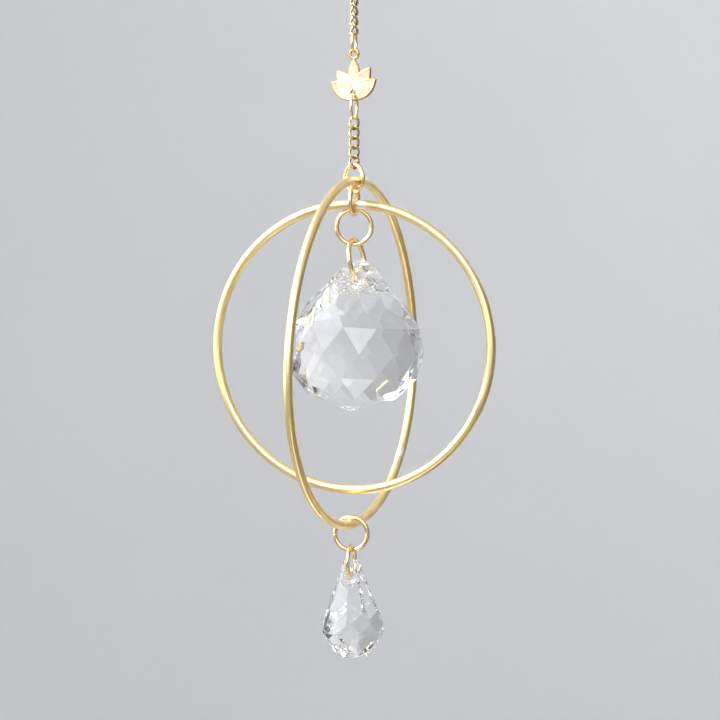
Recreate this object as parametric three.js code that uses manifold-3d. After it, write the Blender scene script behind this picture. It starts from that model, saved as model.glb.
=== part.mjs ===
// A hanging crystal suncatcher: two brass wire hoops, one inside the other and crossing
// nearly at right angles, with a cut glass ball in the middle, a cut glass drop below,
// and a lotus charm and two short curb chains above.
//
// Millimetres, +Z up. The origin is the inner top of the hanging ring, the point that a
// hook bears on, and everything hangs below it along -Z. The small hoop stands in a
// plane parallel to XZ, and the large hoop stands almost in YZ.

import * as THREE from 'three';
import { ConvexGeometry } from 'three/addons/geometries/ConvexGeometry.js';
import { mergeVertices } from 'three/addons/utils/BufferGeometryUtils.js';
import Module from 'manifold-3d';

const wasm = await Module();
wasm.setup();

const degrees = THREE.MathUtils.degToRad;

// ---------------------------------------------------------------- driving dimensions

const PLAY = 0.06;                  // air left between two pieces that bear on each other

// Rings of round wire. yaw turns a ring's plane about Z, lean tips it about its own width.
const HANGING_RING = { outer: 12.0, wire: 1.0, yaw: 0 };
const UPPER_CONNECTOR = { outer: 5.0, wire: 0.6, yaw: 95 };
const LOWER_CONNECTOR = { outer: 6.2, wire: 0.62, yaw: 93 };
const MAIN_RING = { outer: 6.8, wire: 1.0, yaw: -34 };
const INNER_RING = { outer: 7.0, wire: 1.0, yaw: 90 };
const BALL_UPPER_RING = { outer: 8.5, wire: 1.0, yaw: 16 };
const BALL_RING = { outer: 10.0, wire: 1.1, yaw: 86, lean: -8.5 };
const DROP_UPPER_RING = { outer: 8.2, wire: 1.0, yaw: 3 };
const DROP_RING = { outer: 7.6, wire: 0.9, yaw: 93 };

// Curb chain links, each an oval of wire with a quarter turn of twist from end to end.
// Rounding under 1 makes the oval blunter at its ends and straighter along its sides.
const LINK = { pitch: 2.11, width: 2.4, wire: 0.54, twist: 90, rounding: 0.75 };
const UPPER_CHAIN = { links: 6, yaw: -45 };
const LOWER_CHAIN = { links: 5, yaw: 16 };

// Hoops of round wire. egg is how far the top stands out and the sides draw in.
const LARGE_HOOP = { outer: 76.2, wire: 2.0, yaw: 85.2, lean: 1.1, egg: 0.65 };
const SMALL_HOOP = { outer: 63.5, wire: 2.0, yaw: 0, lean: 0, egg: 0 };
// A hoop shares its ring with the next ring down, and rests this far round from the bottom.
// The large hoop crosses its ring aslant, so it keeps further off.
const LARGE_HOOP_SEAT = { angle: 60, play: 0.2 };
const SMALL_HOOP_SEAT = { angle: -54, play: PLAY };

// Lotus charm: petals are pointed leaves from base to tip, in millimetres right of and
// above the middle of its eyelet. bulge is how far each side stands out from the chord,
// and face is how far its front stands before the middle of the charm.
const LOTUS = { yaw: -4, back: 0.4, bevel: 0.14, eyelet: 2.5, hole: 1.3, eyeletDepth: 0.6 };
const LOWER_HOLE_DEPTH = 8.3;
const CENTRE_PETAL = { base: [0, -7.4], tip: [0, -0.85], bulge: [1.3, 1.3], face: 0.24 };
const UPPER_PETAL = { base: [-0.5, -9.0], tip: [3.8, -2.9], bulge: [1.65, 1.65], face: 0.42 };
const LOWER_PETAL = { base: [-0.35, -9.75], tip: [5.2, -5.6], bulge: [2.15, 1.45], face: 0.62 };

// Cut glass. Each stone is the hull of level rows of corners: depth is measured down from
// its top, and every other row is turned by half a step. A hole drilled across its neck,
// with a dished hollow ground at each mouth, takes the ring. neck is the thickness left
// between the dishes, and mouth is how far the hole's edge stands out from that.
const BALL = {
  corners: 12, turn: 24.0, lean: 3.4,
  neck: 5.0, hole: 2.4, ceiling: 2.5, dish: 4.5, mouth: 0.2,
};
const BALL_ROWS = [
  { depth: 0.0, radius: 1.3 },
  { depth: 1.5, radius: 3.6 },
  { depth: 9.1, radius: 10.5 },
  { depth: 13.8, radius: 14.0 },
  { depth: 19.4, radius: 15.0 },
  { depth: 24.7, radius: 13.9 },
  { depth: 29.4, radius: 9.7 },
];
const BALL_TIP_DEPTH = 32.6;

const DROP = {
  corners: 8, turn: 0.8, lean: -1.9,
  neck: 3.2, hole: 1.7, ceiling: 2.6, dish: 3.0, mouth: 0.1,
};
const DROP_NECK_RADIUS = 1.6;
const DROP_GIRDLE = { depth: 13.6, radius: 6.65 };
const DROP_BELLY_DEPTH = 15.6;
const DROP_WAIST = { depth: 18.6, radius: 5.1 };
const DROP_TABLE = { depth: 20.8, radius: 3.7 };

// Fineness of the round work.
const RING_STEPS = 24;
const RING_SIDES = 8;
const LINK_STEPS = 16;
const LINK_SIDES = 6;
const HOOP_STEPS = 76;
const HOOP_SIDES = 8;
const PETAL_STEPS = 7;
const HOLE_SIDES = 20;
const DISH_STEPS = 20;
const MERGE_DISTANCE = 1e-4;

// ------------------------------------------------------------------------- materials

const satinBrass = new THREE.MeshStandardMaterial({ color: 0xd9b878, metalness: 1.0, roughness: 0.38 });
const polishedGold = new THREE.MeshStandardMaterial({ color: 0xe8bf6e, metalness: 1.0, roughness: 0.2 });
const crystal = new THREE.MeshStandardMaterial({
  color: 0xe4eaec, metalness: 0.0, roughness: 0.03, transparent: true, opacity: 0.45,
});

// ---------------------------------------------------------------------- solid helpers

function toSolid(geometry) {
  const plain = geometry.clone();
  plain.deleteAttribute('normal');
  plain.deleteAttribute('uv');
  const merged = mergeVertices(plain, MERGE_DISTANCE);
  return new wasm.Manifold(new wasm.Mesh({
    numProp: 3,
    vertProperties: new Float32Array(merged.attributes.position.array),
    triVerts: new Uint32Array(merged.index.array),
  }));
}

function toGeometry(solid) {
  const mesh = solid.getMesh();
  const geometry = new THREE.BufferGeometry();
  geometry.setAttribute('position', new THREE.BufferAttribute(mesh.vertProperties, 3));
  geometry.setIndex(new THREE.BufferAttribute(mesh.triVerts, 1));
  geometry.computeVertexNormals();
  return geometry;
}

// ------------------------------------------------------------- rings, hoops and links

const bore = (ring) => ring.outer - 2 * ring.wire;

// A closed loop of wire, standing upright in XZ, whose radius follows an angle from +X.
class HoopCurve extends THREE.Curve {
  constructor(radius, egg) {
    super();
    this.radius = radius;
    this.egg = egg;
  }

  radiusAt(angle) {
    return this.radius - this.egg * Math.sin(3 * angle);
  }

  getPoint(t, target = new THREE.Vector3()) {
    const angle = 2 * Math.PI * t;
    const radius = this.radiusAt(angle);
    return target.set(radius * Math.cos(angle), 0, radius * Math.sin(angle));
  }
}

// One curb link's centre line: an oval along Z, twisted about Z as it rises.
class CurbLinkCurve extends THREE.Curve {
  constructor(halfLength, halfWidth, twist, rounding) {
    super();
    this.halfLength = halfLength;
    this.halfWidth = halfWidth;
    this.twist = twist;
    this.rounding = rounding;
  }

  blunt(value) {
    return Math.sign(value) * Math.abs(value) ** this.rounding;
  }

  getPoint(t, target = new THREE.Vector3()) {
    const angle = 2 * Math.PI * t;
    const side = this.halfWidth * this.blunt(Math.cos(angle));
    const rise = this.blunt(Math.sin(angle));
    const turn = -this.twist * rise / 2;
    return target.set(side * Math.cos(turn), side * Math.sin(turn), this.halfLength * rise);
  }
}

// Every hung piece has its bearing point, the inside of its top, at its own origin.
function ringGeometry(ring) {
  const radius = (ring.outer - ring.wire) / 2;
  const geometry = new THREE.TorusGeometry(radius, ring.wire / 2, RING_SIDES, RING_STEPS);
  geometry.rotateX(Math.PI / 2);
  geometry.translate(0, 0, -bore(ring) / 2);
  return geometry;
}

function hoopCurve(hoop) {
  return new HoopCurve((hoop.outer - hoop.wire) / 2, hoop.egg);
}

function hoopGeometry(hoop) {
  const curve = hoopCurve(hoop);
  const geometry = new THREE.TubeGeometry(curve, HOOP_STEPS, hoop.wire / 2, HOOP_SIDES, true);
  geometry.translate(0, 0, hoop.wire / 2 - curve.radiusAt(Math.PI / 2));
  return geometry;
}

function hoopBore(hoop) {
  const curve = hoopCurve(hoop);
  return curve.radiusAt(Math.PI / 2) + curve.radiusAt(-Math.PI / 2) - hoop.wire;
}

const LINK_BORE = LINK.pitch + PLAY;

function linkGeometry() {
  const halfLength = (LINK_BORE + LINK.wire) / 2;
  const halfWidth = (LINK.width - LINK.wire) / 2;
  const curve = new CurbLinkCurve(halfLength, halfWidth, degrees(LINK.twist), LINK.rounding);
  const geometry = new THREE.TubeGeometry(curve, LINK_STEPS, LINK.wire / 2, LINK_SIDES, true);
  geometry.translate(0, 0, -LINK_BORE / 2);
  return geometry;
}

// ------------------------------------------------------------------------ lotus charm

// A leaf outline from base to tip. A bulge is measured square to the chord, left then right,
// and each side's control point stands twice as far out as the curve does.
function petalShape(petal, mirror) {
  const base = new THREE.Vector2(petal.base[0] * mirror, petal.base[1]);
  const tip = new THREE.Vector2(petal.tip[0] * mirror, petal.tip[1]);
  const middle = base.clone().lerp(tip, 0.5);
  const chord = tip.clone().sub(base).normalize();
  const across = new THREE.Vector2(-chord.y, chord.x).multiplyScalar(mirror);
  const left = middle.clone().addScaledVector(across, 2 * petal.bulge[0]);
  const right = middle.clone().addScaledVector(across, -2 * petal.bulge[1]);
  const shape = new THREE.Shape();
  shape.moveTo(base.x, base.y);
  shape.quadraticCurveTo(right.x, right.y, tip.x, tip.y);
  shape.quadraticCurveTo(left.x, left.y, base.x, base.y);
  return shape;
}

// Shapes are drawn in XY and their thickness rises along Z until the charm is stood up.
function petalSolid(petal, mirror) {
  const geometry = new THREE.ExtrudeGeometry(petalShape(petal, mirror), {
    depth: LOTUS.back + petal.face - 2 * LOTUS.bevel,
    curveSegments: PETAL_STEPS,
    bevelEnabled: true,
    bevelThickness: LOTUS.bevel,
    bevelSize: LOTUS.bevel,
    bevelOffset: -LOTUS.bevel,
    bevelSegments: 1,
  });
  geometry.translate(0, 0, LOTUS.bevel - LOTUS.back);
  return toSolid(geometry);
}

function discSolid(diameter, thickness, height) {
  const geometry = new THREE.CylinderGeometry(diameter / 2, diameter / 2, thickness, HOLE_SIDES);
  geometry.rotateX(Math.PI / 2);
  geometry.translate(0, height, 0);
  return toSolid(geometry);
}

function lotusGeometry() {
  const through = 4 * (LOTUS.back + LOWER_PETAL.face);
  let charm = discSolid(LOTUS.eyelet, LOTUS.eyeletDepth, 0).add(petalSolid(CENTRE_PETAL, 1));
  for (const petal of [UPPER_PETAL, LOWER_PETAL]) {
    for (const mirror of [1, -1]) charm = charm.add(petalSolid(petal, mirror));
  }
  charm = charm.subtract(discSolid(LOTUS.hole, through, 0));
  charm = charm.subtract(discSolid(LOTUS.hole, through, -LOWER_HOLE_DEPTH));
  const geometry = toGeometry(charm);
  geometry.translate(0, -LOTUS.hole / 2, 0);
  geometry.rotateX(Math.PI / 2);
  return geometry;
}

// -------------------------------------------------------------------------- cut glass

function rowPoints(row, corners, turn) {
  const points = [];
  for (let corner = 0; corner < corners; corner += 1) {
    const angle = turn + (2 * Math.PI * corner) / corners;
    points.push(new THREE.Vector3(
      row.radius * Math.cos(angle), row.radius * Math.sin(angle), -row.depth));
  }
  return points;
}

// The stone's own X runs along its hole, and its origin is the middle of the hole's ceiling.
function stoneGeometry(stone, rows, extraPoints = []) {
  const halfStep = Math.PI / stone.corners;
  const points = rows.flatMap((row, index) =>
    rowPoints(row, stone.corners, degrees(stone.turn) + (index % 2) * halfStep));
  let solid = toSolid(new ConvexGeometry([...points, ...extraPoints]));
  const holeRadius = stone.hole / 2;
  const holeDepth = stone.ceiling + holeRadius;
  const drillLength = 4 * stone.neck;
  const drill = new THREE.CylinderGeometry(holeRadius, holeRadius, drillLength, HOLE_SIDES);
  drill.rotateZ(Math.PI / 2);
  drill.translate(0, 0, -holeDepth);
  solid = solid.subtract(toSolid(drill));
  const dishDepth = holeDepth - holeRadius / 2;
  for (const side of [1, -1]) {
    const dish = new THREE.SphereGeometry(stone.dish, DISH_STEPS, DISH_STEPS / 2);
    dish.translate(side * (stone.neck / 2 + stone.dish), 0, -dishDepth);
    solid = solid.subtract(toSolid(dish));
  }
  const geometry = toGeometry(solid);
  geometry.translate(0, 0, stone.ceiling);
  return geometry;
}

function ballGeometry() {
  return stoneGeometry(BALL, BALL_ROWS, [new THREE.Vector3(0, 0, -BALL_TIP_DEPTH)]);
}

// The drop's long facets run from the neck past the girdle corners to a point on the belly,
// so each belly corner lies in the plane of the facet above it.
function dropGeometry() {
  const flare = (DROP_GIRDLE.radius - DROP_NECK_RADIUS) / DROP_GIRDLE.depth;
  const bellyRadius = (DROP_NECK_RADIUS + flare * DROP_BELLY_DEPTH) * Math.cos(Math.PI / DROP.corners);
  const neckCorners = rowPoints(
    { depth: 0, radius: DROP_NECK_RADIUS }, DROP.corners, degrees(DROP.turn));
  const rows = [
    DROP_GIRDLE,
    { depth: DROP_BELLY_DEPTH, radius: bellyRadius },
    DROP_WAIST,
    DROP_TABLE,
  ];
  return stoneGeometry(DROP, rows, neckCorners);
}

// --------------------------------------------------------------------------- assembly

const suncatcher = new THREE.Group();

// Hangs a piece with its bearing point at `bearing`, and returns the point inside its
// bottom, `length` below, which the next piece down bears on.
function hang(name, geometry, material, bearing, length, placing) {
  const mesh = new THREE.Mesh(geometry, material);
  mesh.name = name;
  mesh.position.copy(bearing);
  mesh.rotation.set(degrees(placing.lean ?? 0), 0, degrees(placing.yaw), 'ZXY');
  suncatcher.add(mesh);
  mesh.updateMatrixWorld(true);
  return mesh.localToWorld(new THREE.Vector3(0, 0, -length));
}

const above = (point, rise) => point.clone().add(new THREE.Vector3(0, 0, rise));

function hangRing(name, ring, seat) {
  return hang(name, ringGeometry(ring), polishedGold, above(seat, PLAY), bore(ring), ring);
}

function hangChain(name, chain, seat) {
  let bearing = above(seat, PLAY);
  for (let link = 1; link <= chain.links; link += 1) {
    const end = hang(`${name}_${link}`, linkGeometry(), polishedGold, bearing, LINK_BORE, chain);
    bearing = above(end, PLAY);
  }
  return above(bearing, -PLAY);
}

// A hoop rests to one side of the bottom of a ring, leaving the bottom to the next ring.
function hangHoop(name, hoop, ring, ringSeat, seat) {
  const reach = bore(ring) / 2 - hoop.wire / 2 - seat.play;
  const angle = degrees(seat.angle);
  const aside = reach * Math.sin(angle);
  const wireCentre = above(ringSeat, bore(ring) / 2 - reach * Math.cos(angle));
  wireCentre.x += aside * Math.cos(degrees(ring.yaw));
  wireCentre.y += aside * Math.sin(degrees(ring.yaw));
  const bearing = above(wireCentre, -hoop.wire / 2);
  return hang(name, hoopGeometry(hoop), satinBrass, bearing, hoopBore(hoop), hoop);
}

// A hole is straight and its ring is round, so the ring bears at the hole's two mouths.
function arcRise(ring, halfThickness) {
  const radius = bore(ring) / 2;
  return radius - Math.sqrt(radius ** 2 - halfThickness ** 2);
}

function hangStone(name, geometry, stone, ring, seat) {
  const bearing = above(seat, arcRise(ring, stone.neck / 2 + stone.mouth) + PLAY);
  hang(name, geometry, crystal, bearing, 0, { yaw: ring.yaw, lean: stone.lean });
}

hang('hanging_ring', ringGeometry(HANGING_RING), polishedGold, new THREE.Vector3(), 0, HANGING_RING);
const ringSeat = new THREE.Vector3(0, 0, -bore(HANGING_RING));
const upperChainSeat = hangChain('upper_chain_link', UPPER_CHAIN, ringSeat);
const upperConnectorSeat = hangRing('upper_connector_ring', UPPER_CONNECTOR, upperChainSeat);

const lotusDrop = LOWER_HOLE_DEPTH + LOTUS.hole;
const lotusSeat = hang(
  'lotus_charm', lotusGeometry(), polishedGold, above(upperConnectorSeat, PLAY), lotusDrop, LOTUS);
const lotusEdge = above(lotusSeat, arcRise(LOWER_CONNECTOR, LOWER_PETAL.face));
const lowerConnectorSeat = hangRing('lower_connector_ring', LOWER_CONNECTOR, lotusEdge);
const lowerChainSeat = hangChain('lower_chain_link', LOWER_CHAIN, lowerConnectorSeat);

const mainSeat = hangRing('main_jump_ring', MAIN_RING, lowerChainSeat);
const largeHoopSeat = hangHoop('large_hoop', LARGE_HOOP, MAIN_RING, mainSeat, LARGE_HOOP_SEAT);
const innerSeat = hangRing('inner_jump_ring', INNER_RING, mainSeat);
hangHoop('small_hoop', SMALL_HOOP, INNER_RING, innerSeat, SMALL_HOOP_SEAT);

const ballUpperSeat = hangRing('ball_upper_ring', BALL_UPPER_RING, innerSeat);
const ballSeat = hangRing('ball_jump_ring', BALL_RING, ballUpperSeat);
hangStone('crystal_ball', ballGeometry(), BALL, BALL_RING, ballSeat);

const dropUpperSeat = hangRing('drop_upper_ring', DROP_UPPER_RING, largeHoopSeat);
const dropSeat = hangRing('drop_jump_ring', DROP_RING, dropUpperSeat);
hangStone('crystal_drop', dropGeometry(), DROP, DROP_RING, dropSeat);

export default suncatcher;
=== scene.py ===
"""A hanging crystal suncatcher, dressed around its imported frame.

Two brass wire hoops cross round a cut glass ball. A cut glass drop hangs below them, and a
lotus charm on two short curb chains carries them. Sizes are metres, +Z is up, and the origin
is the inside of the hanging ring's top, where a hook bears. Every piece is built upright
round its own origin, turned and leaned as it hangs, and settled in the place of its node.
"""

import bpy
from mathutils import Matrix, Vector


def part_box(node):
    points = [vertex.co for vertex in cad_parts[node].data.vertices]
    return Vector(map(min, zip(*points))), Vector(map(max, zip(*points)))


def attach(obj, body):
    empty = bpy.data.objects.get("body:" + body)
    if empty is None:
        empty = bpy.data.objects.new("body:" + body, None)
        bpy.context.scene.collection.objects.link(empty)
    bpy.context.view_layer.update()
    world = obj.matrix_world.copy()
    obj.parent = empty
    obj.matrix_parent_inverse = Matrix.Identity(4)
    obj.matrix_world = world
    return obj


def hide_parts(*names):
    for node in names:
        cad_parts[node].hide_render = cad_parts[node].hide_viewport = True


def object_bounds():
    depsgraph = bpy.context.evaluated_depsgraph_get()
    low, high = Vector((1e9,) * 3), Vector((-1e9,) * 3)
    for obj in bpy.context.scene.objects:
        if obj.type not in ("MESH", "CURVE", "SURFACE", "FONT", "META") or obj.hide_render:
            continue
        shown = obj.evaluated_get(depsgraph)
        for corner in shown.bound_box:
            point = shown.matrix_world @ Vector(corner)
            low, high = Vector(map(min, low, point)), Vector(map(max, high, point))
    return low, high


bl_info = {
    "name": "Crystal Suncatcher",
    "version": (1, 0, 0),
    "blender": (4, 5, 0),
    "location": "3D View > Sidebar > Suncatcher",
    "description": "Builds the hoops, rings, chains, charm and cut glass of a hanging suncatcher",
    "category": "Add Mesh",
}

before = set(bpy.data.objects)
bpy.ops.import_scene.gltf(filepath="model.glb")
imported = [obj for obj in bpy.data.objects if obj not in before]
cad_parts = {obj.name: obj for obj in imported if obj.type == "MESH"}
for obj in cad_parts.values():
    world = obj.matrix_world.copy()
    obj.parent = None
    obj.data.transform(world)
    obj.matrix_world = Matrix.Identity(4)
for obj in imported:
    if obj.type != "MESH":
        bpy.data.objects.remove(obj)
cad_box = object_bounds()

import math
from collections import namedtuple

import bmesh
import bpy
from bpy.props import FloatProperty, FloatVectorProperty, IntProperty, PointerProperty
from bpy.types import Operator, Panel, PropertyGroup
from mathutils import Matrix, Vector
from mathutils.geometry import interpolate_bezier

MM = 0.001
BODY = "root"

# ------------------------------------------------------------------------------- sizes

# A ring of round wire: gauge in mm, the turn of its plane about Z, its lean about its own
# width, and how far round from +X the butt joint of its wire lies, in degrees.
Ring = namedtuple("Ring", "gauge yaw lean joint")
RINGS = {
    "hanging_ring": Ring(1.0, 0, 0, 205),
    "upper_connector_ring": Ring(0.6, 95, 0, 20),
    "lower_connector_ring": Ring(0.62, 93, 0, -15),
    "main_jump_ring": Ring(1.0, -34, 0, 155),
    "inner_jump_ring": Ring(1.0, 90, 0, 30),
    "ball_upper_ring": Ring(1.0, 16, 0, 118),
    "ball_jump_ring": Ring(1.1, 86, -8.5, 62),
    "drop_upper_ring": Ring(1.0, 3, 0, 181),
    "drop_jump_ring": Ring(0.9, 93, 0, 75),
}

# A hoop of the same kind, by its outer width in mm. egg is how far, in mm, its wire stands out
# at the top and low on each side. It draws in by as much between those three places.
Hoop = namedtuple("Hoop", "outer yaw lean egg joint")
HOOPS = {
    "large_hoop": Hoop(76.2, 85.2, 1.1, 0.65, -38),
    "small_hoop": Hoop(63.5, 0, 0, 0, 86),
}

# Two curb chains: the turn of each about Z and its number of links.
Chain = namedtuple("Chain", "yaw links")
CHAINS = {
    "upper_chain_link": Chain(-45, 6),
    "lower_chain_link": Chain(16, 5),
}

# Petals are pointed leaves from base to tip, in mm right of and above the middle of the
# charm's eyelet. bulge is how far the left and the right side stand out from the chord, and
# face is how far the front stands before the middle of the charm. A lined petal has a fine
# line inside its rim. The petals of the two sides differ a little.
Petal = namedtuple("Petal", "base tip bulge face lined")
PETALS = {
    "centre_petal": Petal((0, -7.5), (0, -0.95), (1.3, 1.3), 0.24, False),
    "upper_petal_left": Petal((0.5, -9.2), (-3.95, -3.45), (1.75, 1.75), 0.4, False),
    "upper_petal_right": Petal((-0.5, -9.2), (3.75, -2.9), (1.75, 1.7), 0.43, False),
    "lower_petal_left": Petal((0.35, -10.1), (-5.2, -6.0), (1.55, 2.25), 0.6, True),
    "lower_petal_right": Petal((-0.35, -10.05), (5.15, -5.55), (2.2, 1.55), 0.62, True),
}
CHARM_YAW = -4
CHARM_BACK = 0.4
CHARM_HOLE = 1.3
EYELET_GAUGE = 0.6
LOWER_HOLE_DEPTH = 8.3

# Cut glass: level rows of corners as (depth below the stone's top, radius), in mm, with every
# other row turned by half a step. neck is the glass left between the dished mouths of its
# hole, ceiling is the glass above the hole, and dish is the radius of each hollow.
Stone = namedtuple("Stone", "corners turn yaw lean neck hole ceiling dish")
BALL = Stone(12, 24.0, 86, 3.4, 5.0, 2.4, 2.5, 4.5)
BALL_ROWS = (
    (0.0, 1.3), (1.5, 3.6), (9.1, 10.5), (13.8, 14.0), (19.4, 15.0), (24.7, 13.9), (29.4, 9.7),
)
BALL_TIP = 32.6
DROP = Stone(8, 0.8, 93, -1.9, 3.2, 1.7, 2.6, 3.0)
DROP_NECK_RADIUS = 1.6
DROP_GIRDLE = (13.6, 6.65)
DROP_BELLY_DEPTH = 15.6
DROP_WAIST = (18.6, 5.1)
DROP_TABLE = (20.8, 3.7)

# The second finish of a stone, on the walls of its hole, and the finishes of the charm: its faces, and
# its edges, eyelet and holes, whose darker gold is painted shade.
GROUND = 1
FACE, SHADED_EDGE = 0, 1

# How the pieces are made. The end of a cut wire is rounded by its gauge over CUT_END_PARTS,
# and a brazed swelling dies away over BRAZE_GAUGES gauges each way. Where a leaf outline is
# inset, its pointed ends draw in TIP_INSET times as far as its sides. Neighbouring faces of a
# stone that lie within FLAT_WITHIN degrees of each other are one facet.
CUT_END_PARTS = 40
BRAZE_GAUGES = 1.1
SOLDER_REACH = 0.9 * MM
TIP_INSET = 1.5
PETAL_SIDE_POINTS = 20
PETAL_EDGE_STEPS = 4
CHARM_DRILL_SIDES = 48
CHARM_DRILL_LENGTH = 8 * CHARM_HOLE * MM
STONE_DRILL_SIDES = 64
DISH_SEGMENTS = 96
FLAT_WITHIN = 0.5

# Metals: the names of the clean and the tarnished colour, how strong the tarnish is, the least
# roughness, what the grain adds to it, and how far the grain stands out.
Metal = namedtuple("Metal", "clean tarnish tarnish_amount gloss grain relief")
METALS = {
    "drawn_brass": Metal("brass", "brass_tarnish", 0.75, 0.22, 0.14, 0.35),
    "plated_gold": Metal("gold", "gold_tarnish", 0.6, 0.12, 0.1, 0.2),
    # The chain's gold is darker than the rings': partly its own duller, olive gold, partly painted
    # shade for its links' dark gaps and shaded sides.
    "chain_gold": Metal("chain", "gold_tarnish", 0.3, 0.06, 0.1, 0.2),
    "cast_gold": Metal("charm", "gold", 1.0, 0.22, 0.1, 0.2),
    # The charm's edge gold is darker than its faces: painted shade on its rims, eyelet and holes.
    "cast_gold_edge": Metal("shaded_edge_gold", "gold_tarnish", 0.4, 0.4, 0.1, 0.2),
}

# Patterns in the finishes, by their repeats to a metre: patches of tarnish, lines along and
# across the grain, the film on polished glass, the pits of ground glass, the wall's mottle.
TARNISH_PATCHES = 260.0
GRAIN_LINES = (90.0, 5200.0, 1.0)
GLASS_FILM = 340.0
GROUND_PITS = 1300.0
WALL_MOTTLE = 3.0

# What those patterns do: tarnish starts and is full at two levels of its noise and makes the
# metal duller, grain and pits have a depth, and the film dulls the glass a little.
TARNISH_START = 0.42
TARNISH_FULL = 0.72
TARNISH_DULLS = 0.12
GRAIN_DEPTH = 0.02 * MM
PIT_DEPTH = 0.25 * MM
FILM_DULLS = 0.02
GLASS_IOR = 1.56

# Lights and cards stand round the middle of the object, by azimuth and elevation in degrees
# and by distance, width and height in metres. The strip's azimuth starts from the camera's.
Station = namedtuple("Station", "azimuth elevation distance width height")
WINDOW = Station(-72, 38, 1.3, 2.2, 1.05)
LEFT_FILL = Station(-72, 2, 1.5, 1.9, 0.7)
FRONT = Station(12, 22, 1.7, 1.1, 1.0)
FLOOR_STRIP = Station(0, -80, 0.55, 0.07, 1.2)
SUN_AZIMUTH = -46
SUN_ELEVATION = 38
SUN_DISTANCE = 2.0
SUN_RADIUS = 0.06
WHITE = (1.0, 1.0, 1.0)
COOL_DAYLIGHT = (0.92, 0.97, 1.0)

# A dark card shows only in gloss, or only through glass.
Card = namedtuple("Card", "station shade through_glass")
CARDS = {
    "right_flag": Card(Station(108, 0, 1.5, 2.6, 2.0), (0.36, 0.31, 0.24), False),
    "low_flag": Card(Station(60, -62, 0.9, 2.2, 1.3), (0.36, 0.31, 0.24), False),
    "side_card": Card(Station(126, 5, 1.2, 0.9, 1.6), (0.05, 0.06, 0.08), True),
}

# A square light washes the wall behind the object. The point on the wall that it faces has an
# azimuth that starts from the camera's. It hangs part of the way there, aside and above.
ROOM_RADIUS = 2.8
WASH_AZIMUTH = 162
WASH_ELEVATION = 5
WASH_WIDTH = 0.8
WASH_WAY = 0.45
WASH_ASIDE = (0.7, -0.1, 1.0)


class WireSizes(PropertyGroup):
    """Sizes of the wire work."""

    hoop_gauge: FloatProperty(
        name="Hoop wire", description="Diameter of the hoops' wire", default=2.0 * MM, unit="LENGTH"
    )
    hoop_steps: IntProperty(
        name="Hoop steps", description="Sections round each hoop", default=420, min=24, max=900
    )
    ring_steps: IntProperty(
        name="Ring steps", description="Sections round each jump ring", default=120, min=24, max=400
    )
    wire_sides: IntProperty(
        name="Wire sides", description="Sides of the wire's section", default=24, min=8, max=64
    )
    joint_width: FloatProperty(
        name="Joint", description="Width of a jump ring's butt joint", default=0.07 * MM, unit="LENGTH"
    )
    braze_rise: FloatProperty(
        name="Braze", description="How far a hoop's brazed joint stands out", default=0.06 * MM,
        unit="LENGTH",
    )
    link_gauge: FloatProperty(
        name="Link wire", description="Diameter of the chain links' wire", default=0.54 * MM,
        unit="LENGTH",
    )
    link_width: FloatProperty(
        name="Link width", description="Width across one chain link", default=2.4 * MM, unit="LENGTH"
    )
    link_twist: FloatProperty(
        name="Link twist", description="Twist of a link from end to end", default=math.radians(90),
        subtype="ANGLE",
    )
    link_rounding: FloatProperty(
        name="Link rounding", description="1 is an ellipse, less is blunter at the ends", default=0.75
    )


class StoneSizes(PropertyGroup):
    """Sizes of the cut glass and the charm."""

    arris: FloatProperty(
        name="Arris", description="Width of the polished edge between two facets", default=0.05 * MM,
        unit="LENGTH",
    )
    petal_round: FloatProperty(
        name="Petal edge", description="Rounding of the charm's edges", default=0.26 * MM, unit="LENGTH"
    )
    petal_line: FloatProperty(
        name="Petal line", description="Distance of the line inside a petal's rim from its edge",
        default=0.42 * MM, unit="LENGTH",
    )
    petal_line_depth: FloatProperty(
        name="Line depth", description="Drop from the rim to the petal's face", default=0.05 * MM,
        unit="LENGTH",
    )


class Finishes(PropertyGroup):
    """Colours of the metals, the glass and the studio."""

    brass: FloatVectorProperty(
        name="Brass", description="Clean brass of the hoops", default=(0.93, 0.74, 0.38), size=3,
        subtype="COLOR", min=0.0, max=1.0,
    )
    brass_tarnish: FloatVectorProperty(
        name="Brass tarnish", description="Handled, duller brass", default=(0.78, 0.57, 0.25), size=3,
        subtype="COLOR", min=0.0, max=1.0,
    )
    solder: FloatVectorProperty(
        name="Solder", description="Silver solder at the hoops' joints", default=(0.90, 0.86, 0.78),
        size=3, subtype="COLOR", min=0.0, max=1.0,
    )
    gold: FloatVectorProperty(
        name="Gold", description="Gold plating of the rings, chains and charm",
        default=(0.95, 0.73, 0.43), size=3, subtype="COLOR", min=0.0, max=1.0,
    )
    gold_tarnish: FloatVectorProperty(
        name="Gold tarnish", description="Thin, warmer plating", default=(0.84, 0.54, 0.23), size=3,
        subtype="COLOR", min=0.0, max=1.0,
    )
    charm: FloatVectorProperty(
        name="Charm", description="Pale gold of the petals' faces", default=(0.86, 0.72, 0.53), size=3,
        subtype="COLOR", min=0.0, max=1.0,
    )
    # Painted shade: a dark gold on the charm's rounded edges, eyelet and holes, so they read as shaded
    # outlines.
    shaded_edge_gold: FloatVectorProperty(
        name="Gold edges", description="Worn edges of the charm", default=(0.40, 0.21, 0.07), size=3,
        subtype="COLOR", min=0.0, max=1.0,
    )
    # Partly painted shade: the chain's own duller gold, darkened further so its links' gaps and far
    # sides read shaded.
    chain: FloatVectorProperty(
        name="Chain", description="Gold of the fine chains", default=(0.46, 0.36, 0.17), size=3,
        subtype="COLOR", min=0.0, max=1.0,
    )
    glass: FloatVectorProperty(
        name="Glass", description="Tint of the cut glass", default=(0.995, 0.998, 1.0), size=3,
        subtype="COLOR", min=0.0, max=1.0,
    )
    wall: FloatVectorProperty(
        name="Wall", description="Paint of the studio's wall and floor", default=(0.68, 0.675, 0.68),
        size=3, subtype="COLOR", min=0.0, max=1.0,
    )


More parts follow.
